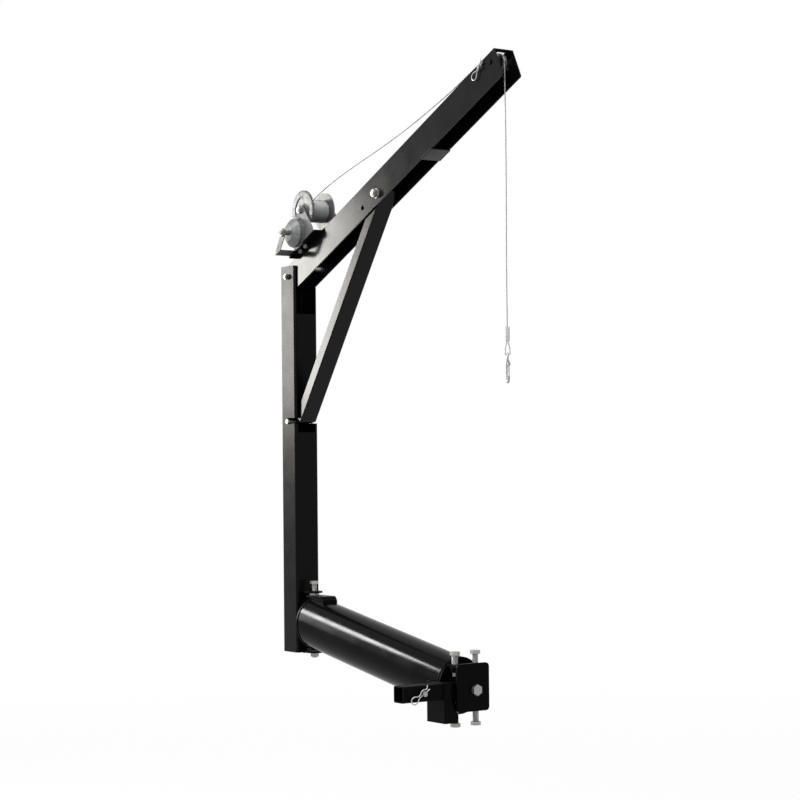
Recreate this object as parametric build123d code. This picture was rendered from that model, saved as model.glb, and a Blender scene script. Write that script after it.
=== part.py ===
from build123d import *
import os
from math import sin, cos, tan, atan2, asin, radians, degrees, pi, hypot, sqrt

# Hitch-mounted jib crane in millimetres, +Z up.
# The origin is the centre of the hitch pin, on the axis of the square hitch bar.
# X runs from the mast towards the hitch end, Y from the bar's open end towards the crane.

# Shared fits
pin_fit = 0.05
seat_gap = 0.3
washer_t = 3.0

# Hitch bar, its pin and the bracket
crane_y = 183.0
bar_side = 50.0
bar_wall = 4.0
bar_corner = 6.0
bar_reach = 71.0
hitch_pin_d = 16.0
hitch_pin_out = 14.0
pin_head_t = 5.0
hitch_clip_d = 3.6
hitch_clip_turn = 32.0
spigot_w = 90.0
spigot_h = 74.0
spigot_wall = 6.0
spigot_back = 66.0
spigot_cap_t = 10.0
post_out = 108.0
post_depth = 50.0
post_wall = 6.0
post_width = 95.0
post_x = -14.5
post_low = 96.0
post_high = 27.0
cope_gap = 1.0
centre_bolt_d = 20.0

# Main tube and the head on its near end
tube_d = 168.3
tube_wall = 5.0
tube_slope = 10.0
bar_along = 910.0
tube_near_x = -37.0
near_ring_t = 8.0
head_plate_w = 104.0
head_plate_t = 8.0
head_plate_high = 67.0
head_plate_low = 56.0
plate_back = 35.0
front_plate_w = 120.0
front_plate_h = 145.0
front_plate_t = 8.0
front_plate_shift = -8.0
front_plate_lift = 8.0
front_plate_corner = 12.0
set_bolt_d = 18.0
set_bolt_x = -9.0
set_bolt_spread = 77.0
set_bolt_head_z = 103.0
set_bolt_slack = 2.2
weld_nut_h = 16.0

# Slewing hinge between tube and mast
slew_offset = 38.0
ring_offset = 56.0
ring_t = 6.0
ring_d = 172.0
leaf_t = 6.0
leaf_w = 56.0
top_leaf_gap = 8.0
low_leaf_gap = 3.6
tube_leaf_tail = 74.0
slew_bolt_d = 16.0
slew_bolt_out = 24.0
slew_washer_d = 34.0

# Mast
mast_side = 90.0
mast_wall = 5.0
mast_corner = 8.0
mast_height = 1311.0
mast_axis_drop = 112.2
slot_w = 76.0
slot_depth = 164.0
window_w = 68.0
window_low = 745.0
window_high = 862.0
pivot_height = 1275.0
pivot_bolt_d = 12.0
foot_height = 782.0
foot_pin_d = 12.0
foot_head_d = 17.0
foot_slot_low = 774.7
foot_slot_high = 793.5
foot_slot_back = 53.0

# Boom, in its own frame: x along the boom from the pivot, z square to it
boom_angle = 25.66
boom_w = 72.0
boom_low = 55.0
boom_high = 39.0
boom_wall = 4.0
boom_reach = 1300.0
boom_root_r = 34.0
boom_web_start = 10.0
tip_chamfer = 4.0
tip_window = (1212.0, 1288.0)
tip_window_w = 32.0
head_bolt_at = (578.0, -22.0)
head_bolt_d = 16.0
spare_hole_x = 488.0
strap_x = 868.0
strap_len = 60.0
strap_t = 4.0

# Brace
brace_w = 62.0
brace_depth = 39.0
brace_wall = 3.0
brace_tilt = 34.5
brace_run = 868.0
brace_head = 22.0
ear_spread = 40.0
ear_t = 6.0
ear_r = 16.0

# Pulley at the boom tip
pulley_at = (1264.0, 14.0)
pulley_d = 58.0
pulley_w = 14.0
rope_r = 26.0
axle_d = 12.0
keeper_at = (1222.0, 22.0)
keeper_d = 10.0
keeper_out = 13.0
keeper_clip_d = 3.0
keeper_clip_turn = -19.0

# Cable
cable_d = 4.0
cable_start = (198.0, 187.8)
cable_stations = [(245, 187), (376, 173), (731, 104), (1016, 73), (1136, 70), (1226, 63)]
fall_length = 790.0
ferrule_w = 14.0
ferrule_t = 8.0
ferrule_len = 42.0
eye_w = 18.0
eye_len = 45.0
eye_turn = 55.0

# Winch, in the boom's frame
plate_t = 6.0
plate_x = (56.0, 238.0)
plate_w = 120.0
plate_bolt_d = 10.0
plate_bolt_xs = (112.0, 146.0)
plate_bolt_ys = (-45.0, 45.0)
frame_x = (100.0, 232.0)
frame_half = 61.0
frame_t = 3.0
drum_at = (195.0, 146.0)
pinion_at = (139.3, 88.5)
gear_teeth = 43
pinion_teeth = 10
gear_module = 3.0
gear_near = -54.0
gear_t = 8.0
gear_recess_d = 92.0
gear_hub_d = 46.0
drum_core_d = 70.0
drum_far = 36.0
flange_d = 126.0
flange_t = 4.0
drum_shaft_d = 14.0
winding_r = 37.3
winding_pitch = 4.6
winding_turns = 15
pinion_shaft_d = 16.0
pinion_face = 14.0
cup_d = 96.0
cup_small_d = 56.0
cup_depth = 34.0
cup_wall = 3.0
cup_lip = 4.0
outboard_y = -112.0
outboard_foot_x = (62.0, 95.0)
shaft_near = -128.0
shaft_far = 66.0

# Hook
swivel_wire = 6.0
swivel_r = 10.0
swivel_stem_d = 6.0
stem_head_d = 8.4
boss_h = 8.0
hook_turn = -22.0
hook_wire = 7.0
hook_w = 32.0
hook_h = 63.0
hook_point_h = 22.0
latch_d = 4.6
latch_gap = 1.2
latch_pin_d = 3.0

os.makedirs("parts", exist_ok=True)


def save(node, solid):
    export_step(solid, f"parts/{node}.step")


def rod(d, length):
    # round bar standing on the XY plane
    return Cylinder(d / 2, length, align=(Align.CENTER, Align.CENTER, Align.MIN))


def ring(outer, inner, length):
    return rod(outer, length) - Pos(0, 0, -1) * rod(inner, length + 2)


def hexagon(d, height):
    # hexagon of the usual width over flats for a thread of diameter d
    return extrude(RegularPolygon(1.5 * d / sqrt(3), 6), height)


def bolt(d, length):
    # head below the XY plane, shank upwards from it
    return Pos(0, 0, -0.62 * d) * hexagon(d, 0.62 * d) + rod(d, length)


def nut(d, height):
    return hexagon(d, height) - Pos(0, 0, -1) * rod(d + 2 * pin_fit, height + 2)


def to_x(shape):
    # turns a shape that stands on XY so that it points along +X
    return Rot(0, 90, 0) * shape


def to_y(shape):
    return Rot(-90, 0, 0) * shape


def box_tube(side_y, side_z, wall, corner, length):
    # tube along +X from the YZ plane
    outer = RectangleRounded(side_y, side_z, corner)
    inner = RectangleRounded(side_y - 2 * wall, side_z - 2 * wall, max(corner - wall, 0.8))
    return extrude(Plane.YZ * (outer - inner), length)


def wire(path, d):
    return sweep(Plane(path @ 0, z_dir=path % 0) * Circle(d / 2), path=path)


def corner_radii(points, fixed):
    # each arc is as large as its two runs allow, apart from the fixed ones
    radii = []
    for i in range(1, len(points) - 1):
        a = points[i] - points[i - 1]
        b = points[i + 1] - points[i]
        turn = radians(a.get_angle(b))
        radii.append(fixed.get(i, 0.45 * min(a.length, b.length) / tan(turn / 2)))
    return radii


def xz_plate(sketch, y, thickness):
    # sketch drawn in X and Z, extruded from y towards +Y
    return Pos(0, y + thickness, 0) * extrude(Plane.XZ * sketch, thickness)


# Frames of the tube, the mast and the boom
slope = radians(tube_slope)
mast_front = -bar_along * cos(slope)
mast_base = bar_along * sin(slope) - mast_axis_drop
tube_frame = Location((0, crane_y, 0), (0, tube_slope, 0))
mast_frame = Location((mast_front, crane_y, mast_base))
boom_frame = mast_frame * Location((-mast_side / 2, 0, pivot_height), (0, -boom_angle, 0))


def boom_to_world(x, z):
    return (boom_frame * Location((x, 0, z))).position


# Hitch bar, open at its outer end and butted on the spigot
bar_end = crane_y - spigot_w / 2
bar = Rot(0, 0, 90) * box_tube(bar_side, bar_side, bar_wall, bar_corner, bar_end + bar_reach)
bar = Pos(0, -bar_reach, 0) * bar
bar -= to_x(Pos(0, 0, -bar_side) * rod(hitch_pin_d + 2 * pin_fit, 2 * bar_side))
save("hitch_bar", bar)

# Spigot box inside the tube's head, with a cap welded in its front end
spigot_front = plate_back - seat_gap
spigot_len = spigot_front + spigot_back
spigot = Pos(-spigot_back, crane_y, 0) * box_tube(spigot_w, spigot_h, spigot_wall, 8, spigot_len)
save("bracket_spigot", spigot)
cap_plane = Plane((spigot_front, crane_y, 0), x_dir=(0, 1, 0), z_dir=(-1, 0, 0))
spigot_cap = extrude(
    cap_plane * RectangleRounded(spigot_w - 2 * spigot_wall, spigot_h - 2 * spigot_wall, 2), spigot_cap_t)
centre_hole = Pos(0, crane_y, 0) * to_x(rod(centre_bolt_d + 2 * pin_fit, 100))
save("spigot_cap", spigot_cap - centre_hole)

# Saddle post: channel beside the tube, coped to it, with a square hole for the bar
tube_outer = tube_frame * to_x(Pos(0, 0, -1500) * rod(tube_d, 2000))
post_y = crane_y - post_out
post_h = post_low + post_high
post_z = (post_high - post_low) / 2
post = Pos(post_x, post_y + post_wall / 2, post_z) * Box(post_width, post_wall, post_h)
for side in (-1, 1):
    flange_x = post_x + side * (post_width - post_wall) / 2
    post += Pos(flange_x, post_y + post_depth / 2, post_z) * Box(post_wall, post_depth, post_h)
outer_edges = post.edges().filter_by(Axis.Z).group_by(Axis.Y)[0].sort_by(Axis.X)
post = fillet([outer_edges[0], outer_edges[-1]], 4)
post -= tube_frame * to_x(Pos(0, 0, -500) * rod(tube_d + 2 * cope_gap, 1000))
post -= Pos(0, post_y, 0) * Box(bar_side + 2 * pin_fit, 4 * post_wall, bar_side + 2 * pin_fit)
save("saddle_post", post)

# Front plate across the spigot's end, turning on the centre bolt when the crane is levelled
plate_plane = Plane(
    (plate_back, crane_y + front_plate_shift, front_plate_lift), x_dir=(0, 1, 0), z_dir=(1, 0, 0))
front_plate = extrude(
    plate_plane * RectangleRounded(front_plate_w, front_plate_h, front_plate_corner), front_plate_t)
save("front_plate", front_plate - centre_hole)

# Upper and lower plates of the head, between the tube's end ring and the front plate
head_start = tube_near_x + near_ring_t
head_len = plate_back - head_start
head_plate = Pos(head_start + head_len / 2, crane_y, 0) * Box(
    head_len, head_plate_w, head_plate_t, align=(Align.CENTER, Align.CENTER, Align.MIN))
set_bolt_ys = [crane_y - set_bolt_spread / 2, crane_y + set_bolt_spread / 2]
for y in set_bolt_ys:
    head_plate -= Pos(set_bolt_x, y, 0) * Cylinder(set_bolt_d / 2 + pin_fit, 4 * head_plate_t)
head_plates = [Pos(0, 0, head_plate_high) * head_plate,
               Pos(0, 0, -head_plate_low - head_plate_t) * head_plate]
save("head_plates", Compound(children=head_plates))

# Centre bolt and its nut inside the spigot
centre_bolt_len = front_plate_t + seat_gap + spigot_cap_t + 20
plate_face = plate_back + front_plate_t + seat_gap
save("centre_bolt", Pos(plate_face, crane_y, 0) * Rot(0, -90, 0) * bolt(centre_bolt_d, centre_bolt_len))
centre_nut_h = 0.8 * centre_bolt_d
centre_nut = to_x(nut(centre_bolt_d, centre_nut_h))
save("centre_nut", Pos(spigot_front - spigot_cap_t - centre_nut_h, crane_y, 0) * centre_nut)


def spring_clip(pin_d, d):
    # wire clip in the XZ plane: straight leg on X, bowed leg above it, loop at -X
    leg = pin_d / 2 + 16
    bow = pin_d / 2 + d
    points = [(leg, 0), (-leg + 2, 0), (-leg - 8, -8), (-leg - 21, -9), (-leg - 28, 2), (-leg - 24, 13),
              (-leg - 11, 14), (-leg + 2, 6), (-pin_d * 0.9, d + 1.2), (-pin_d * 0.35, bow),
              (pin_d * 0.35, bow), (pin_d * 0.9, d + 1.6), (leg, bow + 3)]
    points = [Vector(x, 0, z) for x, z in points]
    return wire(FilletPolyline(*points, radius=corner_radii(points, {})), d)


def clip_hole(pin_d, d):
    return to_x(Pos(0, 0, -pin_d) * rod(d + 2 * pin_fit, 2 * pin_d))


# Hitch pin through the bar, and its spring clip
pin_start = -bar_side / 2 - 2
hitch_pin = Pos(pin_start, 0, 0) * to_x(rod(hitch_pin_d, bar_side + 2 + hitch_pin_out))
hitch_pin += Pos(pin_start - pin_head_t, 0, 0) * to_x(rod(1.6 * hitch_pin_d, pin_head_t))
clip_at = Pos(bar_side / 2 + hitch_pin_out / 2, 0, 0) * Rot(0, 0, 90) * Rot(0, -hitch_clip_turn, 0)
hitch_pin -= clip_at * clip_hole(hitch_pin_d, hitch_clip_d)
save("hitch_pin", hitch_pin)
save("hitch_pin_clip", clip_at * spring_clip(hitch_pin_d, hitch_clip_d))

# Main tube, cut upright at both ends
ring_x = mast_front + ring_offset
tube_start = ring_x + ring_t
tube_bore = tube_frame * to_x(Pos(0, 0, -1500) * rod(tube_d - 2 * tube_wall, 2000))
tube_span = Pos(tube_start, crane_y, 0) * Box(
    tube_near_x - tube_start, 2 * tube_d, 900, align=(Align.MIN, Align.CENTER, Align.CENTER))
main_tube = (tube_outer & tube_span) - tube_bore
save("main_tube", main_tube)

# Ring plate on the tube's near end, open round the spigot
near_ring_z = -tube_near_x * tan(slope)
near_ring = Pos(tube_near_x, crane_y, near_ring_z) * to_x(rod(tube_d, near_ring_t))
ring_window = RectangleRounded(spigot_w + 4 * set_bolt_slack, spigot_h + 4 * set_bolt_slack, 8)
near_ring -= Pos(tube_near_x - 1, crane_y, 0) * extrude(Plane.YZ * ring_window, near_ring_t + 2)
save("tube_near_ring", near_ring)

# Four set bolts in nuts welded inside the head plates, above and below the spigot
set_len = set_bolt_head_z - spigot_h / 2 - set_bolt_slack
set_bolts = []
weld_nuts = []
for y in set_bolt_ys:
    for turn, nut_top in ((0, head_plate_high), (180, head_plate_low)):
        at = Pos(set_bolt_x, y, 0) * Rot(turn, 0, 0)
        set_bolts.append(at * Pos(0, 0, set_bolt_head_z) * Rot(180, 0, 0) * bolt(set_bolt_d, set_len))
        weld_nuts.append(at * Pos(0, 0, nut_top - weld_nut_h) * nut(set_bolt_d, weld_nut_h))
save("set_bolts", Compound(children=set_bolts))
save("set_bolt_nuts", Compound(children=weld_nuts))

# End ring of the tube
ring_z = -ring_x * tan(slope)
ring_bore = tube_d - 4 * tube_wall
save("tube_end_ring", Pos(ring_x, crane_y, ring_z) * to_x(ring(ring_d, ring_bore, ring_t)))

# Hinge leaves about the slewing bolt, the tube's pair inside the mast's pair
slew_x = mast_front + slew_offset


def leaf(z, end_x):
    # flat leaf from the bolt to end_x, rounded about the bolt
    span = Rectangle(abs(end_x - slew_x), leaf_w, align=(Align.MIN, Align.CENTER))
    plate = Pos(min(end_x, slew_x), crane_y, z) * extrude(span, leaf_t)
    plate += Pos(slew_x, crane_y, z) * rod(leaf_w, leaf_t)
    return plate - Pos(slew_x, crane_y, z - 1) * rod(slew_bolt_d + 2 * pin_fit, leaf_t + 2)


top_z = ring_z + ring_d / 2
low_z = ring_z - ring_d / 2 - leaf_t
tail_end = tube_start + tube_leaf_tail
tube_top_leaf = leaf(top_z, tail_end)
web = Pos(tube_start, crane_y, top_z - 30) * Box(
    tube_leaf_tail, leaf_w, 30, align=(Align.MIN, Align.CENTER, Align.MIN))
web = web - tube_outer
tube_top_leaf += web.solids().sort_by(Axis.Z)[-1]
bevel = Plane((tail_end - 12, crane_y, top_z + leaf_t), z_dir=(1, 0, 1))
tube_top_leaf = split(tube_top_leaf, bevel, keep=Keep.BOTTOM)
save("tube_top_leaf", tube_top_leaf)
save("tube_low_leaf", leaf(low_z, tube_start) - tube_outer)
mast_top_z = top_z + leaf_t + top_leaf_gap
mast_low_z = low_z - low_leaf_gap - leaf_t
save("mast_top_leaf", leaf(mast_top_z, mast_front))
save("mast_low_leaf", leaf(mast_low_z, mast_front))
slew_hole = slew_bolt_d + 2 * pin_fit
low_washer_z = low_z - low_leaf_gap + seat_gap
slew_washers = [
    Pos(slew_x, crane_y, top_z + leaf_t) * ring(slew_washer_d, slew_hole, top_leaf_gap - seat_gap),
    Pos(slew_x, crane_y, low_washer_z) * ring(slew_washer_d, slew_hole, low_leaf_gap - seat_gap)]
save("slew_washers", Compound(children=slew_washers))

# Slewing bolt, which stands proud above the top leaf, and its nut
slew_head_z = mast_top_z + leaf_t + slew_bolt_out
slew_nut_h = 0.8 * slew_bolt_d
slew_nut_z = mast_low_z - seat_gap - slew_nut_h
slew_bolt = Rot(180, 0, 0) * bolt(slew_bolt_d, slew_head_z - slew_nut_z + 3)
save("slew_bolt", Pos(slew_x, crane_y, slew_head_z) * slew_bolt)
save("slew_nut", Pos(slew_x, crane_y, slew_nut_z) * nut(slew_bolt_d, slew_nut_h))

# Mast: square tube with the boom's slot, the brace's window and the foot pin's open slots
mast = Rot(0, -90, 0) * box_tube(mast_side, mast_side, mast_wall, mast_corner, mast_height)
mast = Pos(-mast_side / 2, 0, 0) * mast
slot_cut = Box(4 * mast_wall, slot_w, slot_depth + 1, align=(Align.CENTER, Align.CENTER, Align.MIN))
mast -= Pos(0, 0, mast_height - slot_depth) * slot_cut
window_cut = Box(4 * mast_wall, window_w, window_high - window_low,
                 align=(Align.CENTER, Align.CENTER, Align.MIN))
mast -= Pos(0, 0, window_low) * window_cut
foot_cut = Box(foot_slot_back + 1, 2 * mast_side, foot_slot_high - foot_slot_low,
               align=(Align.MIN, Align.CENTER, Align.MIN))
mast -= Pos(-foot_slot_back, 0, foot_slot_low) * foot_cut
pivot_pos = Pos(-mast_side / 2, -mast_side, pivot_height)
mast -= pivot_pos * to_y(rod(pivot_bolt_d + 2 * pin_fit, 2 * mast_side))
save("mast", mast_frame * mast)

# Boom pivot bolt with its head on the far side, and spacers beside the boom
pivot_frame = mast_frame * Pos(-mast_side / 2, 0, pivot_height)
half_mast = mast_side / 2
pivot_nut_t = 0.8 * pivot_bolt_d
pivot_bolt = Rot(90, 0, 0) * bolt(pivot_bolt_d, mast_side + pivot_nut_t + 4)
save("boom_pivot_bolt", pivot_frame * Pos(0, half_mast, 0) * pivot_bolt)
pivot_nut = to_y(nut(pivot_bolt_d, pivot_nut_t))
save("boom_pivot_nut", pivot_frame * Pos(0, -half_mast - pivot_nut_t, 0) * pivot_nut)
inner_face = half_mast - mast_wall
spacer_t = inner_face - boom_w / 2 - seat_gap
spacer = to_y(ring(30, pivot_bolt_d + 2 * pin_fit, spacer_t))
spacers = [Pos(0, -inner_face, 0) * spacer, Pos(0, inner_face - spacer_t, 0) * spacer]
save("boom_spacers", pivot_frame * Compound(children=spacers))

# Boom: channel open downwards, with a window for the pulley in its top web
side_shape = Pos(boom_web_start, -boom_low) * Rectangle(
    boom_reach - boom_web_start, boom_low + boom_high, align=(Align.MIN, Align.MIN))
tip_corner = make_face(Polyline(
    (boom_reach + 1, -boom_low - 1), (boom_reach - tip_chamfer - 1, -boom_low - 1),
    (boom_reach + 1, -boom_low + tip_chamfer + 1), close=True))
side_shape = side_shape + Circle(boom_root_r) - tip_corner
boom_holes = [((0, 0), pivot_bolt_d), (head_bolt_at, head_bolt_d)]
boom_holes += [(pulley_at, axle_d), (keeper_at, keeper_d)]
for at, d in boom_holes:
    side_shape -= Pos(*at) * Circle(d / 2 + pin_fit)
side_shape -= Pos(spare_hole_x, head_bolt_at[1]) * Circle(head_bolt_d / 2)
inside = boom_w / 2 - boom_wall
boom = xz_plate(side_shape, -boom_w / 2, boom_wall) + xz_plate(side_shape, inside, boom_wall)
boom += Pos(boom_web_start, 0, boom_high - boom_wall) * Box(
    boom_reach - boom_web_start, boom_w, boom_wall, align=(Align.MIN, Align.CENTER, Align.MIN))
boom -= Pos(tip_window[0], 0, boom_high - 2 * boom_wall) * Box(
    tip_window[1] - tip_window[0], tip_window_w, 3 * boom_wall, align=(Align.MIN, Align.CENTER, Align.MIN))
save("boom", boom_frame * boom)

# Tie strap welded across the boom's lower edges
strap = Pos(strap_x, 0, -boom_low - strap_t / 2) * Box(strap_len, boom_w, strap_t)
save("boom_strap", boom_frame * strap)

# Brace: flat tube with two ears at its foot that carry the foot pin
head_pos = boom_to_world(*head_bolt_at)
brace_frame = Location((head_pos.X, crane_y, head_pos.Z), (0, 90 + brace_tilt, 0))
foot_pos = (mast_frame * Location((-mast_side / 2, 0, foot_height))).position
foot_local = (brace_frame.inverse() * Location(foot_pos)).position
brace = Pos(-brace_head, 0, 0) * box_tube(brace_w, brace_depth, brace_wall, 4, brace_head + brace_run)
brace -= Pos(0, -brace_w, 0) * to_y(rod(head_bolt_d + 2 * pin_fit, 2 * brace_w))
ear_base = Pos(brace_run - 20, 0) * Rectangle(40, brace_depth - 2 * brace_wall)
ear_hole = Pos(foot_local.X, foot_local.Z) * Circle(foot_pin_d / 2 + pin_fit)
ear_shape = make_hull(ear_base.edges() + (Pos(foot_local.X, foot_local.Z) * Circle(ear_r)).edges())
ear_shape -= ear_hole
brace += xz_plate(ear_shape, -ear_spread / 2, ear_t)
brace += xz_plate(ear_shape, ear_spread / 2 - ear_t, ear_t)
save("brace", brace_frame * brace)

# Brace head bolt with its washer and nut
half_boom = boom_w / 2
head_frame = boom_frame * Pos(head_bolt_at[0], 0, head_bolt_at[1])
head_nut_t = 0.8 * head_bolt_d
head_bolt = Rot(90, 0, 0) * bolt(head_bolt_d, boom_w + washer_t + head_nut_t + 4)
save("brace_head_bolt", head_frame * Pos(0, half_boom, 0) * head_bolt)
head_washer = to_y(ring(32, head_bolt_d + 2 * pin_fit, washer_t))
save("brace_head_washer", head_frame * Pos(0, -half_boom - washer_t, 0) * head_washer)
head_nut = to_y(nut(head_bolt_d, head_nut_t))
save("brace_head_nut", head_frame * Pos(0, -half_boom - washer_t - head_nut_t, 0) * head_nut)

# Brace foot pin with heads outside the mast
foot_out = half_mast + 1.0
foot_pin = Pos(0, -foot_out - 1, 0) * to_y(rod(foot_pin_d, 2 * foot_out + 2))
foot_pin += Pos(0, -foot_out - 6, 0) * to_y(rod(foot_head_d, 6))
foot_pin += Pos(0, foot_out, 0) * to_y(rod(foot_head_d, 6))
save("brace_foot_pin", Pos(foot_pos.X, crane_y, foot_pos.Z) * foot_pin)

# Winch mounting plate and its bolts
plate_mid = sum(plate_x) / 2
plate_len = plate_x[1] - plate_x[0]
mount_plate = Pos(plate_mid, 0, boom_high) * extrude(RectangleRounded(plate_len, plate_w, 6), plate_t)
base_z = boom_high + plate_t
frame_mid = sum(frame_x) / 2
frame_len = frame_x[1] - frame_x[0]
frame_base = Pos(frame_mid, 0, base_z) * extrude(Rectangle(frame_len, 2 * frame_half), frame_t)
bolt_grip = plate_t + frame_t
mount_bolts = []
for x in plate_bolt_xs:
    for y in plate_bolt_ys:
        hole = Pos(x, y, boom_high - 1) * rod(plate_bolt_d + 2 * pin_fit, plate_t + frame_t + 2)
        mount_plate -= hole
        frame_base -= hole
        top_bolt = Rot(180, 0, 0) * bolt(plate_bolt_d, bolt_grip + 11)
        mount_bolts.append(Pos(x, y, base_z + frame_t) * top_bolt)
        mount_bolts.append(Pos(x, y, boom_high - 8) * nut(plate_bolt_d, 8))
save("winch_plate", boom_frame * mount_plate)
save("winch_bolts", boom_frame * Compound(children=mount_bolts))

# Winch frame: base with two tapered side plates
frame_shape = make_hull(
    (Pos(*drum_at) * Circle(18)).edges() + (Pos(*pinion_at) * Circle(22)).edges()
    + (Pos(frame_mid, base_z + 8) * Rectangle(frame_len, 16)).edges())
for at, d in ((drum_at, drum_shaft_d), (pinion_at, pinion_shaft_d)):
    frame_shape -= Pos(*at) * Circle(d / 2 + pin_fit)
winch_frame = frame_base + xz_plate(frame_shape, -frame_half, frame_t)
winch_frame += xz_plate(frame_shape, frame_half - frame_t, frame_t)
save("winch_frame", boom_frame * winch_frame)

# Outboard strap: foot on the mounting plate, upright leg that carries the shaft's outer end
strap_foot_mid = sum(outboard_foot_x) / 2
strap_foot_w = outboard_foot_x[1] - outboard_foot_x[0]
leg_shape = make_hull(
    (Pos(*pinion_at) * Circle(14)).edges()
    + (Pos(strap_foot_mid, base_z + frame_t / 2) * Rectangle(strap_foot_w, frame_t)).edges())
leg_shape -= Pos(*pinion_at) * Circle(pinion_shaft_d / 2 + pin_fit)
outboard = xz_plate(leg_shape, outboard_y - frame_t, frame_t)
outboard += Pos(strap_foot_mid, outboard_y, base_z) * Box(
    strap_foot_w, -outboard_y - 20, frame_t, align=(Align.CENTER, Align.MIN, Align.MIN))
save("winch_strap", boom_frame * outboard)


def toothed_disc(teeth, length, turn):
    # straight-flanked teeth with generous backlash, standing on the XY plane
    pitch_r = gear_module * teeth / 2
    root_r = pitch_r - 1.25 * gear_module
    tip_r = pitch_r + 0.8 * gear_module
    corners = []
    for i in range(teeth):
        for share, r in ((-0.24, root_r), (-0.10, tip_r), (0.10, tip_r), (0.24, root_r)):
            a = 2 * pi * (i + share) / teeth + radians(turn)
            corners.append((r * cos(a), r * sin(a)))
    return extrude(make_face(Polyline(*corners, close=True)), length)


# Drum with its far flange, and the toothed wheel as its near flange
drum_frame = boom_frame * Pos(drum_at[0], 0, drum_at[1])
drum_bore = drum_shaft_d + 2 * pin_fit
mesh_turn = degrees(atan2(pinion_at[1] - drum_at[1], pinion_at[0] - drum_at[0]))
drum_len = drum_far - gear_near - gear_t
drum = ring(drum_core_d, drum_bore, drum_len)
drum += Pos(0, 0, drum_len - flange_t) * ring(flange_d, drum_bore, flange_t)
save("drum", drum_frame * Pos(0, gear_near + gear_t, 0) * to_y(drum))
# pointed along Y the disc's second axis looks down, so its angles run backwards
gear = toothed_disc(gear_teeth, gear_t, -mesh_turn) - Pos(0, 0, -1) * rod(drum_bore, gear_t + 2)
gear -= Pos(0, 0, -1) * ring(gear_recess_d, gear_hub_d, 4)
save("drum_gear", drum_frame * Pos(0, gear_near, 0) * to_y(gear))

# Drum shaft with its nut and spacers
shaft_nut_t = 0.7 * drum_shaft_d
drum_shaft = Rot(90, 0, 0) * bolt(drum_shaft_d, 2 * frame_half + shaft_nut_t + 3)
save("drum_shaft", drum_frame * Pos(0, frame_half, 0) * drum_shaft)
shaft_nut = to_y(nut(drum_shaft_d, shaft_nut_t))
save("drum_shaft_nut", drum_frame * Pos(0, -frame_half - shaft_nut_t, 0) * shaft_nut)
far_gap = frame_half - frame_t - drum_far - seat_gap
near_gap = gear_near + frame_half - frame_t - seat_gap
shaft_spacers = [Pos(0, drum_far + seat_gap, 0) * to_y(ring(24, drum_bore, far_gap)),
                 Pos(0, -frame_half + frame_t, 0) * to_y(ring(24, drum_bore, near_gap))]
save("drum_spacers", drum_frame * Compound(children=shaft_spacers))

# Cable wound on the drum in one layer of half-turn arcs
wind_mid = (gear_near + gear_t + drum_far - flange_t) / 2
wind_start = wind_mid - winding_turns * winding_pitch / 2
wind_end = wind_start + winding_turns * winding_pitch
arc_r = hypot(winding_r, winding_pitch / 4)
wind_path = [Line((winding_r, wind_start, -cable_d), (winding_r, wind_start, 0))]
for i in range(2 * winding_turns):
    side = 1 if i % 2 == 0 else -1
    y = wind_start + i * winding_pitch / 2
    wind_path.append(ThreePointArc(
        (side * winding_r, y, 0), (0, y + winding_pitch / 4, side * arc_r),
        (-side * winding_r, y + winding_pitch / 2, 0)))
samples = []
for arc in wind_path[1:]:
    samples += [arc @ (k / 12) for k in range(12)]
wind_path.append(Line((winding_r, wind_end, 0), (winding_r, wind_end, cable_d)))
wind_wire = Wire(wind_path)
nearest = min((samples[i] - samples[i + step]).length
              for step in range(20, 29) for i in range(len(samples) - step))
winding = wire(wind_wire, cable_d)
wind_ratio = winding.volume / (pi * cable_d**2 / 4 * wind_wire.length)
print(f"winding: least gap {nearest - cable_d:.2f} mm, volume over section times length {wind_ratio:.4f}")
save("cable_winding", drum_frame * winding)

# Pinion shaft with the pinion cut in one piece, and the nut on its outer end
pinion_frame = boom_frame * Pos(pinion_at[0], 0, pinion_at[1])
pinion = toothed_disc(pinion_teeth, pinion_face, 180 - mesh_turn + 180 / pinion_teeth)
pinion_shaft = Pos(0, shaft_near, 0) * to_y(rod(pinion_shaft_d, shaft_far - shaft_near))
pinion_shaft += Pos(0, gear_near - 2, 0) * to_y(pinion)
save("pinion_shaft", pinion_frame * pinion_shaft)
end_nut = to_y(nut(pinion_shaft_d, 9))
save("pinion_nut", pinion_frame * Pos(0, outboard_y - frame_t - seat_gap - 9, 0) * end_nut)

# Brake cup on the near side plate
big_r = cup_d / 2
small_r = cup_small_d / 2
cup_hole = pinion_shaft_d / 2 + 0.5
cup_mid = 0.45 * cup_depth
cup_shape = make_face(Polyline(
    (big_r + cup_lip, 0), (big_r + cup_lip, cup_wall), (big_r, cup_wall),
    (big_r, cup_mid), (small_r, cup_depth), (cup_hole, cup_depth),
    (cup_hole, cup_depth - cup_wall), (small_r - 1, cup_depth - cup_wall), (big_r - cup_wall, cup_mid - 1),
    (big_r - cup_wall, 0), close=True))
cup = revolve(Plane.XZ * cup_shape, Axis.Z)
save("brake_cup", pinion_frame * Pos(0, -frame_half, 0) * Rot(90, 0, 0) * cup)

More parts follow.
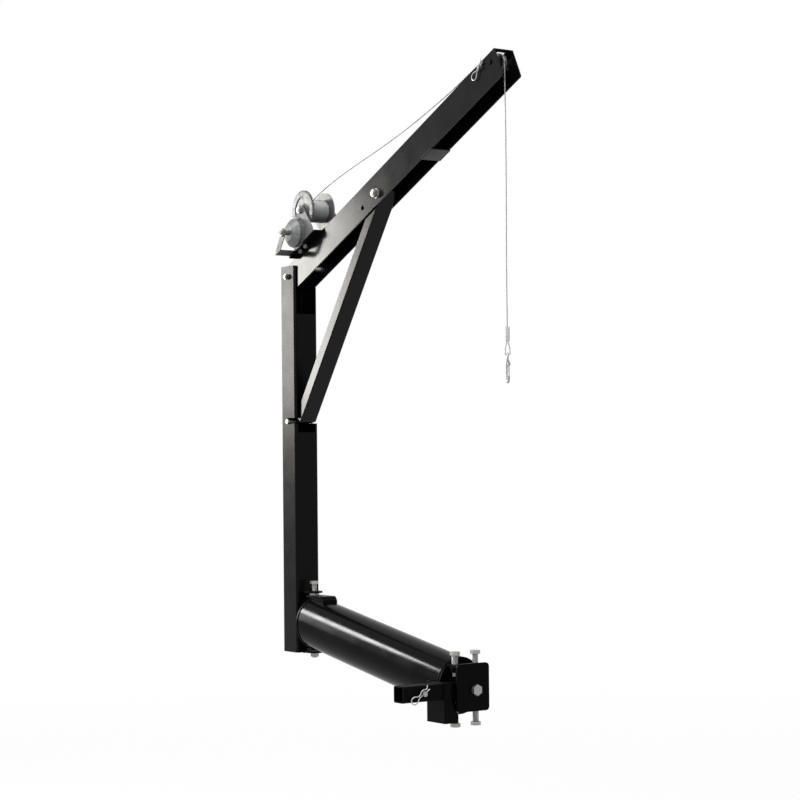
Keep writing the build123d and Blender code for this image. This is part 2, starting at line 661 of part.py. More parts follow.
# Pulley with a rope groove, and its axle
groove_floor = rope_r - cable_d / 2 - seat_gap
groove_shape = make_face(Polyline(
    (groove_floor, -2.4), (groove_floor, 2.4), (pulley_d / 2 + 1, pulley_w / 2 - 1),
    (pulley_d / 2 + 1, 1 - pulley_w / 2), close=True))
pulley = ring(pulley_d, axle_d + 2 * pin_fit, pulley_w)
pulley -= Pos(0, 0, pulley_w / 2) * revolve(Plane.XZ * groove_shape, Axis.Z)
hub_len = 2 * inside - 2 * seat_gap
pulley += Pos(0, 0, (pulley_w - hub_len) / 2) * ring(20, axle_d + 2 * pin_fit, hub_len)
pulley_frame = boom_frame * Pos(pulley_at[0], 0, pulley_at[1])
save("tip_pulley", pulley_frame * Pos(0, -pulley_w / 2, 0) * to_y(pulley))
axle = Pos(0, -half_boom - 3, 0) * to_y(rod(axle_d, boom_w + 6))
axle += Pos(0, half_boom, 0) * to_y(rod(18, 4))
axle += Pos(0, -half_boom - 4, 0) * to_y(rod(18, 4))
save("pulley_axle", pulley_frame * axle)

# Keeper pin behind the pulley with its spring clip
keeper_frame = boom_frame * Pos(keeper_at[0], 0, keeper_at[1])
keeper = Pos(0, -half_boom - keeper_out, 0) * to_y(rod(keeper_d, boom_w + keeper_out))
keeper += Pos(0, half_boom, 0) * to_y(rod(18, pin_head_t))
keeper_clip_at = Pos(0, -half_boom - keeper_out / 2, 0) * Rot(0, keeper_clip_turn, 0)
keeper -= keeper_clip_at * clip_hole(keeper_d, keeper_clip_d)
save("keeper_pin", keeper_frame * keeper)
save("keeper_clip", keeper_frame * keeper_clip_at * spring_clip(keeper_d, keeper_clip_d))

# Cable over the boom: from the winding to the pulley and round it to the plumb tangent
last_x, last_z = cable_stations[-1]
to_centre = atan2(pulley_at[1] - last_z, pulley_at[0] - last_x)
centre_dist = hypot(pulley_at[0] - last_x, pulley_at[1] - last_z)
enter = to_centre + asin(rope_r / centre_dist)
leave = -pi / 2 - radians(boom_angle)
half_turn = (enter - leave) / 2
corner_r = rope_r / cos(half_turn / 2)
wrap = []
for share in (0.5, 1.5):
    a = enter + pi / 2 - share * half_turn
    wrap.append((pulley_at[0] + corner_r * cos(a), pulley_at[1] + corner_r * sin(a)))
tangent_a = leave + pi / 2
tangent_at = (pulley_at[0] + rope_r * cos(tangent_a), pulley_at[1] + rope_r * sin(tangent_a))
run_2d = [cable_start] + cable_stations + wrap + [tangent_at]
run_points = [Vector(x, 0, z) for x, z in run_2d]
run_points[-1] = run_points[-1] + Vector(cos(leave), 0, sin(leave)) * 0.2
wrap_first = len(run_points) - 3
# just under the rope radius, so that a short straight is left between the two arcs
wrap_r = 0.995 * rope_r
run_radii = corner_radii(run_points, {wrap_first: wrap_r, wrap_first + 1: wrap_r})
print("cable run radii", [round(r, 1) for r in run_radii])
run_path = FilletPolyline(*run_points, radius=run_radii)
cable_run = wire(run_path, cable_d)
run_ratio = cable_run.volume / (pi * cable_d**2 / 4 * run_path.length)
print(f"cable run: length {run_path.length:.1f} mm, volume over section times length {run_ratio:.4f}")
save("cable_run", boom_frame * cable_run)

# Hanging cable, plumb below the pulley's front tangent, and its ferrule
pulley_pos = boom_to_world(*pulley_at)
drop_x = pulley_pos.X + rope_r
fall_low = pulley_pos.Z - fall_length
save("hanging_cable", Pos(drop_x, crane_y, fall_low) * rod(cable_d, fall_length - 2 * seat_gap))
ferrule_low = fall_low - ferrule_len
drop_at = Pos(drop_x, crane_y, 0)
eye_at = drop_at * Rot(0, 0, eye_turn)
barrel_out = (ferrule_w - ferrule_t) / 2
barrels = [Pos(side * barrel_out, 0) * Circle(ferrule_t / 2) for side in (-1, 1)]
ferrule = extrude(make_hull(barrels[0].edges() + barrels[1].edges()), ferrule_len)
ferrule = fillet(ferrule.edges().group_by(Axis.Z)[0] + ferrule.edges().group_by(Axis.Z)[-1], 1.2)
save("cable_ferrule", eye_at * Pos(0, 0, ferrule_low) * ferrule)

# Eye at the cable's end
eye_low = ferrule_low - eye_len + cable_d / 2
eye_half = eye_w / 2 - cable_d / 2
eye_2d = [(-2.6, ferrule_low), (-2.6, ferrule_low - 7), (-eye_half, ferrule_low - 22), (-eye_half, eye_low),
          (eye_half, eye_low), (eye_half, ferrule_low - 22), (2.6, ferrule_low - 7), (2.6, ferrule_low)]
eye_points = [Vector(x, 0, z) for x, z in eye_2d]
eye_radii = corner_radii(eye_points, {})
print("cable eye radii", [round(r, 1) for r in eye_radii])
eye_path = FilletPolyline(*eye_points, radius=eye_radii)
save("cable_eye", eye_at * wire(eye_path, cable_d))

# Swivel: ring through the eye with a headed stem below
swivel_z = eye_low + cable_d / 2 + swivel_wire / 2 + seat_gap - swivel_r
stem_z = swivel_z - swivel_r - swivel_wire / 2
boss_top = stem_z - 4 - seat_gap
stem_low = boss_top - boss_h - seat_gap - 3
swivel = Pos(0, 0, swivel_z) * Rot(0, 90, 0) * Torus(swivel_r, swivel_wire / 2)
swivel += Pos(0, 0, stem_z - 4) * rod(12, 6)
swivel += Pos(0, 0, stem_low) * rod(swivel_stem_d, boss_h + 5)
swivel += Pos(0, 0, stem_low) * rod(stem_head_d, 3)
save("hook_swivel", eye_at * swivel)

# Snap hook: boss on the swivel's stem, bent bar below it
hook_low = boss_top - hook_h
back_x = -hook_w / 2 + hook_wire / 2
front_x = hook_w / 2 - hook_wire / 2
neck_z = boss_top - boss_h / 2
point_z = hook_low + hook_point_h
hook_2d = [(-6, neck_z), (back_x, neck_z - 9), (back_x, point_z), (back_x + 5, hook_low + 5),
           (front_x - 5, hook_low + 5), (front_x, point_z)]
hook_points = [Vector(x, 0, z) for x, z in hook_2d]
hook_path = FilletPolyline(*hook_points, radius=corner_radii(hook_points, {}))
hook = wire(hook_path, hook_wire) + Pos(0, 0, boss_top - boss_h) * rod(17, boss_h)
hook += Pos(front_x / 2, 0, neck_z) * Box(front_x, 8, boss_h)
hook += Pos(front_x, -4, neck_z) * to_y(rod(8, 8))
hook -= Pos(0, 0, boss_top - boss_h - 1) * rod(swivel_stem_d + 2 * pin_fit, boss_h + 2)
hook -= Pos(front_x, 0, neck_z) * Box(15, 5.4, 20)
hook += Pos(front_x, -4, neck_z) * to_y(rod(latch_pin_d, 8))
hook_at = drop_at * Rot(0, 0, hook_turn)
save("snap_hook", hook_at * hook)

# Latch: sprung tongue from the lug to the hook's point
latch_low = point_z + latch_gap
latch = Pos(front_x, -2.4, neck_z) * to_y(rod(7, 4.8))
latch += Pos(front_x, 0, latch_low) * rod(latch_d, neck_z - latch_low)
latch -= Pos(front_x, -4, neck_z) * to_y(rod(latch_pin_d + 2 * pin_fit, 8))
save("hook_latch", hook_at * latch)
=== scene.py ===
import math

import bmesh
import bpy
from mathutils import Matrix, Vector


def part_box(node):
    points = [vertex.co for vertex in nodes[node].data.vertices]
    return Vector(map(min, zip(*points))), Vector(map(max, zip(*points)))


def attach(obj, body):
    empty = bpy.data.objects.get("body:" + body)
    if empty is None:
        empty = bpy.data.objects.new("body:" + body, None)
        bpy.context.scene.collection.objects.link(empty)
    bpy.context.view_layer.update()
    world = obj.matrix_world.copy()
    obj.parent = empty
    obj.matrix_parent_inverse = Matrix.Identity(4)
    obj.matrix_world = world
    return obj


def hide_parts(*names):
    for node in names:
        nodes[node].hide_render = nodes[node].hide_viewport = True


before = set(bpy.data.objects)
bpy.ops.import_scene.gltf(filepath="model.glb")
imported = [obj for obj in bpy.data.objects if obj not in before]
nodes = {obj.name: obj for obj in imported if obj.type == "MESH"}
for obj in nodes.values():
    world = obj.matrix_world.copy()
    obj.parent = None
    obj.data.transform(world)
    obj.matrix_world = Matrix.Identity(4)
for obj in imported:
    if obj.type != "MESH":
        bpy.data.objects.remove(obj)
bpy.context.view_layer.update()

# Hitch bracket: square bar, saddle post, and the spigot box that the tube's head is bolted on.
# Cut from steel tube and plate, welded, then powder coated black in one go, so that
# all of it shares one skin with a fine orange peel and soft edges.


def srgb(text):
    channels = [int(text[i:i + 2], 16) / 255 for i in (1, 3, 5)]
    linear = [c / 12.92 if c <= 0.04045 else ((c + 0.055) / 1.055) ** 2.4 for c in channels]
    return (*linear, 1.0)


def add(tree, kind, links=(), **settings):
    # one node with its settings; links are pairs of an input and the output that feeds it
    node = tree.nodes.new(kind)
    for key, value in settings.items():
        if key.startswith("in_"):
            slot = key[3:]
            node.inputs[int(slot) if slot.isdigit() else slot.replace("_", " ")].default_value = value
        else:
            setattr(node, key, value)
    for slot, output in links:
        tree.links.new(output, node.inputs[slot])
    return node


def powder_coat(name, colour, gloss, rough_low, rough_high):
    # baked powder paint: a dielectric gloss over black, with broad dull patches and a peel of
    # real size, which only a near view shows
    peel_mm, patch_mm = 1.6, 70
    material = bpy.data.materials.new(name)
    material.use_nodes = True
    tree = material.node_tree
    shader = tree.nodes["Principled BSDF"]
    shader.inputs["IOR"].default_value = 1.36
    shader.inputs["Specular IOR Level"].default_value = gloss
    place = add(tree, "ShaderNodeTexCoord").outputs["Object"]
    peel = add(tree, "ShaderNodeTexNoise", [("Vector", place)], in_Scale=1000 / peel_mm, in_Detail=2.0)
    dull = add(tree, "ShaderNodeTexNoise", [("Vector", place)], in_Scale=1000 / patch_mm, in_Detail=4.0)
    rough = add(tree, "ShaderNodeMapRange", [("Value", dull.outputs["Fac"])], in_From_Min=0.35,
                in_From_Max=0.65, in_To_Min=rough_low, in_To_Max=rough_high)
    tint = add(tree, "ShaderNodeMixRGB", [("Fac", dull.outputs["Fac"])], in_Color1=srgb(colour),
               in_Color2=srgb("#08080a"))
    edge = add(tree, "ShaderNodeBevel", samples=4, in_Radius=0.0012)
    skin = add(tree, "ShaderNodeBump", [("Height", peel.outputs["Fac"]), ("Normal", edge.outputs["Normal"])],
               in_Strength=0.06, in_Distance=0.0002)
    tree.links.new(tint.outputs["Color"], shader.inputs["Base Color"])
    tree.links.new(rough.outputs["Result"], shader.inputs["Roughness"])
    tree.links.new(skin.outputs["Normal"], shader.inputs["Normal"])
    return material


def dress(material, *names):
    for name in names:
        nodes[name].data.materials.clear()
        nodes[name].data.materials.append(material)


bracket_paint = powder_coat("powder_coat_bracket", "#040405", 0.05, 0.3, 0.4)
dress(bracket_paint, "hitch_bar", "bracket_spigot", "spigot_cap", "saddle_post")

# Weld seam round the bar where it enters the saddle post.
# A hand-run fillet: overlapping ripples about 2 mm apart, painted over with the bracket.


def weld_seam(name, route, width, closed, body, paint):
    # tube of ripples along a dense route, half sunk in the corner that it fills
    mesh = bpy.data.meshes.new(name)
    work = bmesh.new()
    rings = []
    ripple, ripple_height, sides = 0.0022, 0.16, 8
    travelled = 0.0
    count = len(route)
    for i, point in enumerate(route):
        ahead = route[(i + 1) % count] if closed or i < count - 1 else point
        behind = route[i - 1] if closed or i > 0 else point
        along = (ahead - behind).normalized()
        side = along.orthogonal().normalized()
        other = along.cross(side)
        swell = width / 2 * (1 + ripple_height * abs(math.sin(math.pi * travelled / ripple)))
        rings.append([work.verts.new(point + swell * (side * math.cos(a) + other * math.sin(a)))
                      for a in [2 * math.pi * k / sides for k in range(sides)]])
        travelled += (ahead - point).length
    for i in range(count if closed else count - 1):
        first, second = rings[i], rings[(i + 1) % count]
        shift = min(range(sides), key=lambda s: (first[0].co - second[s].co).length)
        for k in range(sides):
            work.faces.new((first[k], first[(k + 1) % sides], second[(k + 1 + shift) % sides],
                            second[(k + shift) % sides]))
    if not closed:
        work.faces.new(rings[0][::-1])
        work.faces.new(rings[-1])
    bmesh.ops.recalc_face_normals(work, faces=work.faces)
    work.to_mesh(mesh)
    work.free()
    mesh.shade_smooth()
    seam = bpy.data.objects.new(name, mesh)
    bpy.context.scene.collection.objects.link(seam)
    mesh.materials.append(paint)
    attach(seam, body)


def dense(corners, closed, step=0.0007):
    # points every 0.7 mm along straight edges
    points = []
    ends = corners + corners[:1] if closed else corners
    for a, b in zip(ends, ends[1:]):
        n = max(2, round((b - a).length / step))
        points += [a.lerp(b, k / n) for k in range(n)]
    if not closed:
        points.append(ends[-1])
    return points


seam_proud, chamfer, bar_seam = 0.0004, 0.004, 0.005
seam_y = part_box("saddle_post")[0].y - seam_proud
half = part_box("hitch_bar")[1].x + seam_proud
square = [Vector((x, seam_y, z)) for x, z in (
    (half, chamfer - half), (half, half - chamfer), (half - chamfer, half), (chamfer - half, half),
    (-half, half - chamfer), (-half, chamfer - half), (chamfer - half, -half), (half - chamfer, -half))]
weld_seam("bar_weld", dense(square, True), bar_seam, True, "hitch_bracket", bracket_paint)

# Bolts, nuts and washers of the bracket and the tube's near end.
# Cold-headed steel with bright zinc plating: pale grey, a little mottled, with rolled threads.


def zinc_plate(name, light, dark, rough_low, rough_high, mottle_mm):
    # electroplated zinc: a soft metal mirror, broken by small crystals and handling marks
    stain_mm = 18
    material = bpy.data.materials.new(name)
    material.use_nodes = True
    tree = material.node_tree
    shader = tree.nodes["Principled BSDF"]
    shader.inputs["Metallic"].default_value = 1.0
    place = add(tree, "ShaderNodeTexCoord").outputs["Object"]
    crystal = add(tree, "ShaderNodeTexVoronoi", [("Vector", place)], in_Scale=1000 / mottle_mm,
                  in_Randomness=1.0)
    stain = add(tree, "ShaderNodeTexNoise", [("Vector", place)], in_Scale=1000 / stain_mm, in_Detail=5.0,
                in_Roughness=0.62)
    share = add(tree, "ShaderNodeMath", [(0, crystal.outputs["Color"]), (1, stain.outputs["Fac"])],
                operation="MULTIPLY")
    tint = add(tree, "ShaderNodeMixRGB", [("Fac", share.outputs["Value"])], in_Color1=srgb(light),
               in_Color2=srgb(dark))
    rough = add(tree, "ShaderNodeMapRange", [("Value", stain.outputs["Fac"])], in_From_Min=0.3,
                in_From_Max=0.7, in_To_Min=rough_low, in_To_Max=rough_high)
    edge = add(tree, "ShaderNodeBevel", samples=4, in_Radius=0.0006)
    skin = add(tree, "ShaderNodeBump", [("Height", stain.outputs["Fac"]), ("Normal", edge.outputs["Normal"])],
               in_Strength=0.1, in_Distance=0.0003)
    tree.links.new(tint.outputs["Color"], shader.inputs["Base Color"])
    tree.links.new(rough.outputs["Result"], shader.inputs["Roughness"])
    tree.links.new(skin.outputs["Normal"], shader.inputs["Normal"])
    return material


bolt_zinc = zinc_plate("zinc_plated_bolt", "#a4a4a0", "#6c6c6b", 0.4, 0.54, 2.5)
dress(bolt_zinc, "centre_bolt", "centre_nut", "set_bolts")


def rolled_thread(name, start, axis, radius, length, pitch, body):
    # rolled ridges on a plain shank: rings of points on a helix, crest then root
    axis = axis.normalized()
    side = axis.orthogonal().normalized()
    other = axis.cross(side)
    mesh = bpy.data.meshes.new(name)
    work = bmesh.new()
    around, ridge_share, clear = 24, 0.32, 0.00005
    rows = []
    levels = max(4, round(4 * length / pitch))
    for i in range(levels + 1):
        row = []
        for k in range(around):
            a = 2 * math.pi * k / around
            height = length * i / levels
            phase = (height / pitch + k / around) % 1.0
            ridge = ridge_share * pitch * (1 - abs(2 * phase - 1))
            r = radius + clear + ridge * min(1.0, min(i, levels - i) / 2)
            row.append(work.verts.new(start + axis * height + r * (side * math.cos(a) + other * math.sin(a))))
        rows.append(row)
    for first, second in zip(rows, rows[1:]):
        for k in range(around):
            work.faces.new((first[k], first[(k + 1) % around], second[(k + 1) % around], second[k]))
    bmesh.ops.recalc_face_normals(work, faces=work.faces)
    work.to_mesh(mesh)
    work.free()
    thread = bpy.data.objects.new(name, mesh)
    bpy.context.scene.collection.objects.link(thread)
    mesh.materials.append(bolt_zinc)
    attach(thread, body)


crane_y = 0.183
set_bolt_x, set_bolt_out, set_bolt_r, set_bolt_pitch = -0.009, 0.0385, 0.009, 0.0025
thread_high, thread_low, under_head = 0.0755, -0.0645, 0.1028
for number, (side, level) in enumerate(
        ((-1, thread_high), (1, thread_high), (-1, thread_low), (1, thread_low))):
    away = 1 if level > 0 else -1
    rolled_thread(f"set_bolt_thread_{number}", Vector((set_bolt_x, crane_y + side * set_bolt_out, level)),
                  Vector((0, 0, away)), set_bolt_r, under_head - abs(level), set_bolt_pitch, "tube_base")

# Hitch pin through the bar with its spring clip.
# The pin is turned steel, zinc plated; the clip is hard drawn wire bent cold, brighter than the pin.
dress(bolt_zinc, "hitch_pin")
clip_wire = zinc_plate("bright_spring_wire", "#b8b9b9", "#8e8f8f", 0.36, 0.48, 1.2)
dress(clip_wire, "hitch_pin_clip", "keeper_clip")

# Main tube: round steel pipe with a ring on each end, hinge leaves, and a head of three flat plates.
# Same black powder coat, glossier on the drawn pipe than on the cut plates, with a seam round each ring.
tube_paint = powder_coat("powder_coat_tube", "#050506", 0.06, 0.14, 0.2)
dress(tube_paint, "main_tube")
dress(bracket_paint, "tube_near_ring", "head_plates", "front_plate", "set_bolt_nuts", "tube_end_ring",
      "tube_top_leaf", "tube_low_leaf")
tube_radius = 0.16830 / 2
slope = math.radians(10)
ring_steps, ring_weld_d, head_weld_d, head_weld_half = 720, 0.0045, 0.005, 0.05
end_gap, near_gap, head_weld_high, head_weld_low = 0.0006, 0.0004, 0.0756, -0.0554
for name, x in (("ring_weld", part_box("tube_end_ring")[1].x + end_gap),
                ("near_ring_weld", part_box("tube_near_ring")[0].x - near_gap)):
    ring_seam = []
    for k in range(ring_steps):
        a = 2 * math.pi * k / ring_steps
        ring_seam.append(Vector((x, crane_y + tube_radius * math.cos(a),
                                 tube_radius / math.cos(slope) * math.sin(a) - x * math.tan(slope))))
    weld_seam(name, ring_seam, ring_weld_d, True, "tube_base", bracket_paint)
plate_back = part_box("front_plate")[0].x - end_gap
for name, z in (("head_weld_high", head_weld_high), ("head_weld_low", head_weld_low)):
    line = [Vector((plate_back, crane_y + y, z)) for y in (-head_weld_half, head_weld_half)]
    weld_seam(name, dense(line, False), head_weld_d, False, "tube_base", bracket_paint)

# Slewing hinge: a long bolt with washers through both pairs of leaves, nut below.
# Plain zinc-plated hardware; the shank above the top leaf shows its thread.
dress(bolt_zinc, "slew_washers", "slew_bolt", "slew_nut")
dress(bracket_paint, "mast_top_leaf", "mast_low_leaf")
slew_low, slew_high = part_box("slew_bolt")
slew_x = (slew_low.x + slew_high.x) / 2
thread_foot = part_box("mast_top_leaf")[1].z + 0.0005
m16_r, m16_pitch, slew_thread_length = 0.008, 0.002, 0.022
rolled_thread("slew_thread_top", Vector((slew_x, crane_y, thread_foot)), Vector((0, 0, 1)), m16_r,
              slew_thread_length, m16_pitch, "tube_base")

# Mast: square tube, slotted at the top for the boom and cut through for the brace.
# Same paint, a shade duller than the pipe; short seams hold its hinge leaves.
mast_paint = powder_coat("powder_coat_mast", "#060607", 0.11, 0.24, 0.3)
dress(mast_paint, "mast")
leaf_weld_out, leaf_weld_in, leaf_weld_d = 0.0008, 0.006, 0.0042
leaf_weld_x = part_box("mast")[1].x + leaf_weld_out
for name in ("mast_top_leaf", "mast_low_leaf"):
    leaf_low, leaf_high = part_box(name)
    for level, z in (("under", leaf_low.z - leaf_weld_out), ("over", leaf_high.z + leaf_weld_out)):
        line = [Vector((leaf_weld_x, leaf_low.y + leaf_weld_in, z)),
                Vector((leaf_weld_x, leaf_high.y - leaf_weld_in, z))]
        weld_seam(f"{name}_weld_{level}", dense(line, False), leaf_weld_d, False, "mast", mast_paint)
dress(bolt_zinc, "boom_pivot_bolt", "boom_pivot_nut", "boom_spacers")

# Boom: folded channel, open below, with a tie strap and a brace of flat tube.
# Rolled sheet takes the paint smoother than the mast, so that it mirrors the studio more clearly.
boom_paint = powder_coat("powder_coat_boom", "#060607", 0.21, 0.13, 0.18)
dress(boom_paint, "boom", "brace")
strap_paint = powder_coat("powder_coat_strap", "#3c3c3d", 0.3, 0.34, 0.44)
dress(strap_paint, "boom_strap")
boom_tilt = math.radians(25.66)
boom_pivot = Vector((-0.941175, crane_y, 1.320820))


def on_boom(x, z, y=0.0):
    # millimetres along and square to the boom, from its pivot, to metres in the row's frame
    return boom_pivot + Vector((
        (x * math.cos(boom_tilt) - z * math.sin(boom_tilt)) / 1000, y / 1000,
        (x * math.sin(boom_tilt) + z * math.cos(boom_tilt)) / 1000))


strap_ends, strap_weld_z, strap_weld_y, strap_weld_d = (842, 894), -55.6, 36.6, 0.0034
for name, side in (("strap_weld_near", -1), ("strap_weld_far", 1)):
    line = [on_boom(x, strap_weld_z, strap_weld_y * side) for x in strap_ends]
    weld_seam(name, dense(line, False), strap_weld_d, False, "boom", strap_paint)
dress(bolt_zinc, "brace_head_bolt", "brace_head_washer", "brace_head_nut", "brace_foot_pin")
boom_half, head_washer, head_nut, thread_stub = 36, 3, 12.8, 0.0038
head_end = on_boom(578, -22, -boom_half - head_washer - head_nut)
rolled_thread("brace_head_thread", head_end, Vector((0, -1, 0)), m16_r, thread_stub, m16_pitch, "boom")
mast_half, pivot_nut, m12_r, m12_pitch = 0.045, 0.0096, 0.006, 0.00175
pivot_end = boom_pivot + Vector((0, -mast_half - pivot_nut, 0))
rolled_thread("boom_pivot_thread", pivot_end, Vector((0, -1, 0)), m12_r, thread_stub, m12_pitch, "mast")

# Winch: pressed frame, drum with its toothed wheel, brake cup and pinion shaft on a black plate.
# Pressed and blanked steel, zinc plated after forming: more spangle and more scuffs than the bolts.
dress(bracket_paint, "winch_plate")
press_zinc = zinc_plate("zinc_plated_pressing", "#7d7e7e", "#494a4a", 0.58, 0.72, 5.0)
dress(press_zinc, "winch_frame", "winch_strap", "drum_spacers", "brake_cup")
drum_zinc = zinc_plate("zinc_plated_drum", "#7d7e7e", "#4f5050", 0.5, 0.62, 6.0)
dress(drum_zinc, "drum")
wheel_zinc = zinc_plate("zinc_plated_wheel", "#828384", "#4a4b4c", 0.5, 0.64, 3.5)
dress(wheel_zinc, "drum_gear", "pinion_shaft")
dress(bolt_zinc, "winch_bolts", "drum_shaft", "drum_shaft_nut", "pinion_nut")
pinion_x, pinion_z, pinion_nut_face, shaft_stub = 139.3, 88.5, -124.3, 0.0036
shaft_end = on_boom(pinion_x, pinion_z, pinion_nut_face)
rolled_thread("pinion_thread", shaft_end, Vector((0, -1, 0)), m16_r, shaft_stub, m16_pitch, "pinion")

# Wire cable: laid from six strands round a core, galvanised before laying.
# Wound on the drum, led over the boom to the tip pulley, then plumb down to the hook.
strand_zinc = zinc_plate("galvanised_strand", "#b3b4b4", "#848585", 0.4, 0.55, 1.6)


def laid_cable(name, points, steps, diameter):
    # strands that wind round the line of one fine spline, with a lay of seven diameters
    strands, sides, lay, least_step = 6, 5, 7 * diameter, 0.0022
    curve = bpy.data.curves.new(name + "_route", "CURVE")
    curve.dimensions = "3D"
    spline = curve.splines.new("NURBS")
    spline.points.add(len(points) - 1)
    for point, place in zip(spline.points, points):
        point.co = (*place, 1.0)
    spline.order_u = 3
    spline.use_endpoint_u = True
    spline.resolution_u = steps
    holder = bpy.data.objects.new(name + "_route", curve)
    route_mesh = bpy.data.meshes.new_from_object(holder)
    route = [v.co.copy() for v in route_mesh.vertices]
    bpy.data.objects.remove(holder)
    bpy.data.curves.remove(curve)
    bpy.data.meshes.remove(route_mesh)
    line = [route[0]]
    for place in route[1:]:
        if (place - line[-1]).length > least_step:
            line.append(place)
    work = bmesh.new()
    strand_r = diameter / 6
    across = (line[1] - line[0]).orthogonal().normalized()
    travelled = 0.0
    rows = []
    for i, place in enumerate(line):
        along = (line[min(i + 1, len(line) - 1)] - line[max(i - 1, 0)]).normalized()
        across = (across - along * across.dot(along)).normalized()
        other = along.cross(across)
        if i:
            travelled += (place - line[i - 1]).length
        row = []
        for s in range(strands):
            a = 2 * math.pi * s / strands + 2 * math.pi * travelled / lay
            middle = place + 2 * strand_r * (across * math.cos(a) + other * math.sin(a))
            row.append([work.verts.new(middle + strand_r * (across * math.cos(b) + other * math.sin(b)))
                        for b in [a + k * 2 * math.pi / sides for k in range(sides)]])
        rows.append(row)
    for first, second in zip(rows, rows[1:]):
        for s in range(strands):
            for k in range(sides):
                after = (k + 1) % sides
                work.faces.new((first[s][k], first[s][after], second[s][after], second[s][k]))
    for s in range(strands):
        work.faces.new(rows[0][s][::-1])
        work.faces.new(rows[-1][s])
    mesh = bpy.data.meshes.new(name)
    work.to_mesh(mesh)
    work.free()
    mesh.shade_smooth()
    cable = bpy.data.objects.new(name, mesh)
    bpy.context.scene.collection.objects.link(cable)
    mesh.materials.append(strand_zinc)
    length = sum((b - a).length for a, b in zip(line, line[1:]))
    return cable, line, length


cable_d = 0.004
drum_x, drum_z = 195.0, 146.0
turns, pitch, wind_r, wind_mid, per_turn = 15, 4.6, 37.3, -7.0, 12
# the spline runs a little inside its points, so that they stand out by this much
control_r = wind_r / (0.75 + 0.25 * math.cos(2 * math.pi / per_turn))
turn_points = []
for k in range(per_turn * turns + 1):
    a = 2 * math.pi / per_turn * k
    turn_points.append(on_boom(drum_x + control_r * math.cos(a), drum_z + control_r * math.sin(a),
                               wind_mid + pitch * (k / per_turn - turns / 2)))
winding, winding_line, winding_length = laid_cable("wound_cable", turn_points, 8, cable_d)
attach(winding, "drum")
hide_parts("cable_winding")

run_points = [on_boom(x, z) for x, z in (
    (198.0, 187.8), (245, 187), (376, 173), (731, 104), (1016, 73), (1136, 70), (1226, 63), (1264, 43.3),
    (1285.3, 32.2), (1292.0, 12.2), (1287.4, 2.6))]
run, run_line, run_length = laid_cable("boom_cable", run_points, 160, cable_d)
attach(run, "boom")
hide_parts("cable_run")

fall_low, fall_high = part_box("hanging_cable")
drop_x, straight = (fall_low.x + fall_high.x) / 2, 0.024
fall_points = [Vector((drop_x + dx, crane_y, z)) for dx, z in (
    (0, fall_high.z), (0, fall_high.z - straight), (0.003, fall_high.z - 0.2), (0.002, fall_high.z - 0.42),
    (-0.001, fall_high.z - 0.62), (0, fall_low.z + straight), (0, fall_low.z))]
fall, fall_line, fall_length = laid_cable("hanging_fall", fall_points, 100, cable_d)
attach(fall, "line")
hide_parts("hanging_cable")

# Eye, ferrule, swivel and snap hook on the cable's end.
# The eye is the cable bent back; the ferrule is soft aluminium pressed on it; the hook is cast and plated.
dress(strand_zinc, "cable_eye")
ferrule_metal = zinc_plate("pressed_aluminium", "#adaeaf", "#8c8d8e", 0.36, 0.5, 9.0)
dress(ferrule_metal, "cable_ferrule")
hook_zinc = zinc_plate("zinc_plated_casting", "#a9aaaa", "#6d6e6e", 0.36, 0.5, 2.0)
dress(hook_zinc, "hook_swivel", "snap_hook", "hook_latch")

# Tip pulley on its axle with the keeper pin behind it.
# The wheel is turned steel, given a darker grey than the plated parts; the keeper is a plated pin, the axle
# is painted with the boom.
pulley_steel = zinc_plate("turned_pulley_steel", "#6c6c6a", "#3a3a39", 0.28, 0.4, 3.0)
dress(pulley_steel, "tip_pulley")
dress(bolt_zinc, "keeper_pin")
dress(boom_paint, "pulley_axle")

# Camera at the photograph's place, solved from the object's own edges.
# Long lens from the near right, a little below the boom, with a slight roll.
camera_yaw, camera_pitch, camera_roll = (math.radians(v) for v in (34.93, -1.329, -0.543))
back = Vector((math.cos(camera_yaw) * math.cos(camera_pitch), -math.sin(camera_yaw) * math.cos(camera_pitch),
               math.sin(camera_pitch)))
level_right = Vector((math.sin(camera_yaw), math.cos(camera_yaw), 0))
level_up = back.cross(level_right)
right = math.cos(camera_roll) * level_right + math.sin(camera_roll) * level_up
up = math.cos(camera_roll) * level_up - math.sin(camera_roll) * level_right
camera_place, focal_px, image_px, sensor_mm = (5.1823, -3.6749, 0.7303), 2116.66, 800, 36.0
camera_data = bpy.data.cameras.new("photo_camera")
camera_data.sensor_width = sensor_mm
camera_data.lens = sensor_mm * focal_px / image_px
camera_data.clip_end = 200.0
camera = bpy.data.objects.new("photo_camera", camera_data)
bpy.context.scene.collection.objects.link(camera)
turn = Matrix((right, up, back)).transposed().to_4x4()
camera.matrix_world = Matrix.Translation(camera_place) @ turn
bpy.context.scene.camera = camera

# Studio: pale floor well below the hitch, white surround, and soft boxes at the left, above and in front.
# The left box is what the near sides of boom and brace mirror, and a gridded one draws the tube's line
# of light; the surround is white to the eye.
floor_level, floor_half, near_edge, far_edge = -0.95, 40.0, 2.0, 9.0
floor_mesh = bpy.data.meshes.new("studio_floor")
floor_work = bmesh.new()
bmesh.ops.create_grid(floor_work, x_segments=4, y_segments=4, size=floor_half)
floor_work.to_mesh(floor_mesh)
floor_work.free()
floor = bpy.data.objects.new("studio_floor", floor_mesh)
floor.location.z = floor_level
bpy.context.scene.collection.objects.link(floor)


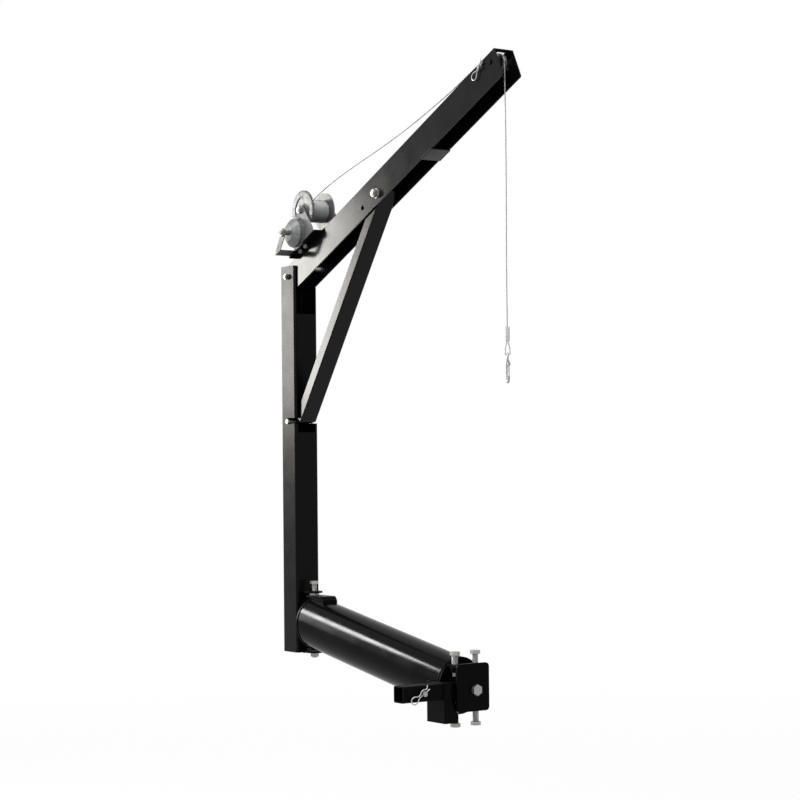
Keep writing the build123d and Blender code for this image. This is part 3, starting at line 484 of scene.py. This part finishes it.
def seen_rays(tree):
    # one for rays from the eye, straight or by way of gloss or glass, and nought for the rest
    path = add(tree, "ShaderNodeLightPath").outputs
    seen = add(tree, "ShaderNodeMath", [(0, path["Is Camera Ray"]), (1, path["Is Glossy Ray"])],
               operation="MAXIMUM")
    seen = add(tree, "ShaderNodeMath", [(0, seen.outputs[0]), (1, path["Is Transmission Ray"])],
               operation="MAXIMUM")
    return seen.outputs[0]


paper = bpy.data.materials.new("white_backdrop_paper")
paper.use_nodes = True
tree = paper.node_tree
tree.nodes.remove(tree.nodes["Principled BSDF"])
place = add(tree, "ShaderNodeTexCoord").outputs["Object"]
away = add(tree, "ShaderNodeVectorMath", [(0, place)], operation="LENGTH")
white = add(tree, "ShaderNodeMapRange", [("Value", away.outputs["Value"])], in_From_Min=near_edge,
            in_From_Max=far_edge, in_To_Min=0.9, in_To_Max=1.0)
lift = add(tree, "ShaderNodeMath", [(0, seen_rays(tree)), (1, white.outputs["Result"])], operation="MULTIPLY")
matt = add(tree, "ShaderNodeBsdfDiffuse", in_Color=srgb("#f4f4f4"))
glow = add(tree, "ShaderNodeEmission", in_Color=srgb("#ffffff"), in_Strength=1.0)
both = add(tree, "ShaderNodeMixShader", [(0, lift.outputs[0]), (1, matt.outputs[0]), (2, glow.outputs[0])])
tree.links.new(both.outputs[0], tree.nodes["Material Output"].inputs["Surface"])
floor_mesh.materials.append(paper)

world = bpy.data.worlds.new("white_studio")
world.use_nodes = True
bpy.context.scene.world = world
tree = world.node_tree
strength = add(tree, "ShaderNodeMapRange", [("Value", seen_rays(tree))], in_To_Min=0.55, in_To_Max=1.0)
tree.links.new(strength.outputs["Result"], tree.nodes["Background"].inputs["Strength"])
tree.nodes["Background"].inputs["Color"].default_value = srgb("#ffffff")
bpy.context.scene.view_settings.view_transform = "Standard"


def soft_box(name, place, aim, width, height, power, grid=180):
    # area lamp; the grid is the full angle, in degrees, that its honeycomb lets through
    lamp = bpy.data.lights.new(name, "AREA")
    lamp.shape = "RECTANGLE"
    lamp.size = width
    lamp.size_y = height
    lamp.energy = power
    lamp.spread = math.radians(grid)
    holder = bpy.data.objects.new(name, lamp)
    bpy.context.scene.collection.objects.link(holder)
    holder.matrix_world = Matrix.Translation(place) @ (Vector(aim) - Vector(place)).to_track_quat(
        "-Z", "Y").to_matrix().to_4x4()
    return holder


left_box = soft_box("left_box", (-4.7, -1.69, 1.52), (-0.6, 0.18, 1.35), 1.5, 1.22, 155)
left_box.data.color = srgb("#fffcf6")[:3]
soft_box("tube_box", (-4.1, -1.8, 2.5), (-1.3, 0.1, 0.1), 1.1, 1.3, 8, grid=19)
soft_box("top_box", (-0.3, -1.2, 4.4), (-0.4, 0.18, 0.8), 3.0, 2.0, 140)
soft_box("front_box", (3.4, -3.4, 2.6), (-0.3, 0.18, 0.9), 2.4, 1.8, 60)
